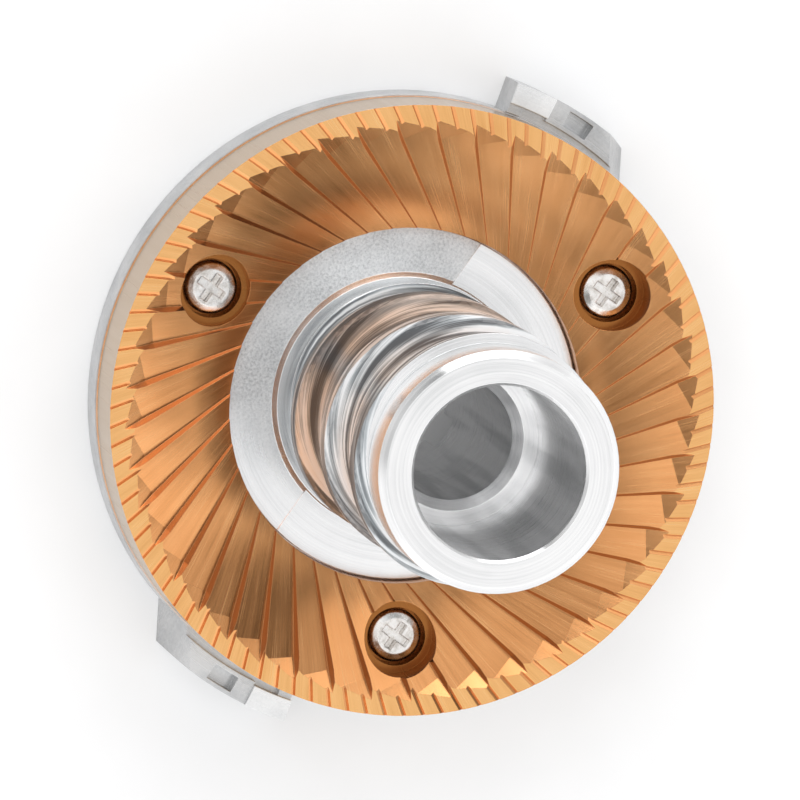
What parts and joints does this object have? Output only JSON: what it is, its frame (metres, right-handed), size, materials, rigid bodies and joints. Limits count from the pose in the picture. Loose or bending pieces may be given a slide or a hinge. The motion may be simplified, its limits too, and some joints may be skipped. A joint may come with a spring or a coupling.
{
  "type": "coffee grinder burr set",
  "caption": "Flat cutting ring with slanted saw teeth, screwed to a light disc with sweeper lugs and a hollow feed auger that rises through its bore.",
  "frame": {"origin": "centre of the carrier's back face, on the shaft axis, at the bottom of the whole part", "axes": "+Z along the shaft axis from the carrier's back to the tip of the feed auger; the two sweeper lugs lie on X and the cross slot in the back runs along Y"},
  "size_m": [0.071, 0.0644, 0.0517],
  "materials": {
    "cutting_ring": "copper-coloured hard coating on ground steel, satin",
    "carrier": "turned and bead-blasted, pale",
    "screw": "bright zinc"
  },
  "bodies": {
    "root": {"burr_ring": "cutting_ring", "carrier": "carrier", "burr_screw_1": "screw", "burr_screw_2": "screw", "burr_screw_3": "screw"}
  },
  "joints": []
}
